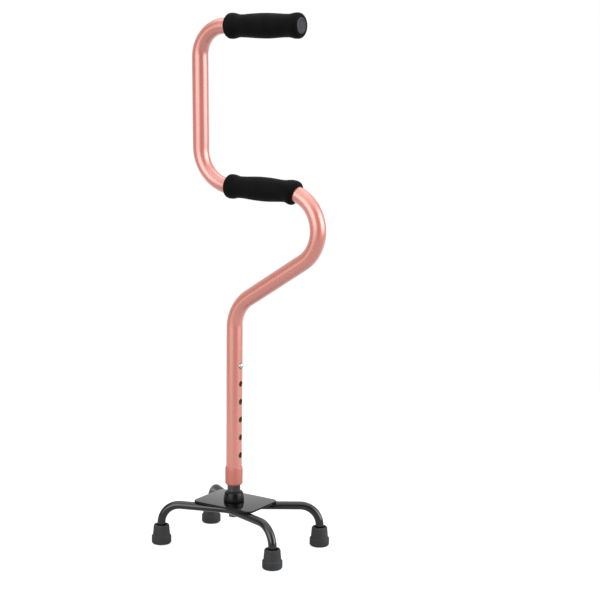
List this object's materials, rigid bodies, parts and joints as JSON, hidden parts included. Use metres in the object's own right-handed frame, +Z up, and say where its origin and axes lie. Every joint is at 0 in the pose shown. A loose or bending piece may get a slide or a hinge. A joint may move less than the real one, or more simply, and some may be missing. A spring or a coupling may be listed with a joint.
{
  "type": "quad walking cane",
  "caption": "Four-legged walking cane: a swept double-grip handle tube slides on a lower tube, locked by a spring button, over a plated steel base with rubber tips.",
  "frame": {"origin": "on the floor, under the centre of the bounding box at rest; the shaft axis stands at x = -17.75 mm, y = -16.24 mm", "axes": "+X is the way both grips point, along the long side of the four-leg base; +Y is away from the shaft towards the far pair of tips; +Z is up"},
  "size_m": [0.2494, 0.145, 0.7305],
  "materials": {
    "rose_paint": "satin metallic rose pink paint on aluminium tube",
    "collar_paint": "satin rose pink paint on a turned aluminium ring",
    "grip_foam": "fine-celled matte black foam",
    "plug_plastic": "slate grey moulded plastic",
    "bush_nylon": "natural nylon",
    "inner_tube_anodised": "dark anodised aluminium",
    "button_nickel": "bright nickel-plated spring steel",
    "hub_gloss": "gloss black",
    "fastener_zinc": "zinc-plated steel",
    "plate_paint": "gloss charcoal paint on pressed steel sheet",
    "leg_paint": "gloss charcoal paint on bent steel tube",
    "tip_rubber": "matte charcoal rubber"
  },
  "bodies": {
    "base": {"inner_tube": "inner_tube_anodised", "guide_bush": "bush_nylon", "base_hub": "hub_gloss", "tube_insert": "fastener_zinc", "hub_bolt": "fastener_zinc", "spacer_sleeve": "fastener_zinc", "base_plate": "plate_paint", "front_leg_bow": "leg_paint", "rear_leg_bow": "leg_paint", "tip_front_left": "tip_rubber", "tip_front_right": "tip_rubber", "tip_rear_right": "tip_rubber", "tip_rear_left": "tip_rubber", "tip_disc_front_left": "fastener_zinc", "tip_disc_front_right": "fastener_zinc", "tip_disc_rear_right": "fastener_zinc", "tip_disc_rear_left": "fastener_zinc"},
    "handle": {"handle_tube": "rose_paint", "upper_grip": "grip_foam", "lower_grip": "grip_foam", "tube_end_plug": "plug_plastic", "collet_bush": "bush_nylon"},
    "collar": {"locking_collar": "collar_paint"},
    "snap_button": {"snap_button_clip": "button_nickel"}
  },
  "joints": [
    {"name": "height_adjust", "type": "slide", "parent": "base", "child": "handle", "axis": [0, 0, 1], "range_m": [0, 0.125]},
    {"name": "collar_turn", "type": "hinge", "parent": "handle", "child": "collar", "pos_m": [-0.01775, -0.01624, 0.1], "axis": [0, 0, 1], "range_deg": [0, 360]},
    {"name": "button_press", "type": "slide", "parent": "base", "child": "snap_button", "axis": [-1, 0, 0], "range_m": [0, 0.004], "stiffness_N_per_m": 1800, "deforming": ["snap_button_clip"]}
  ]
}
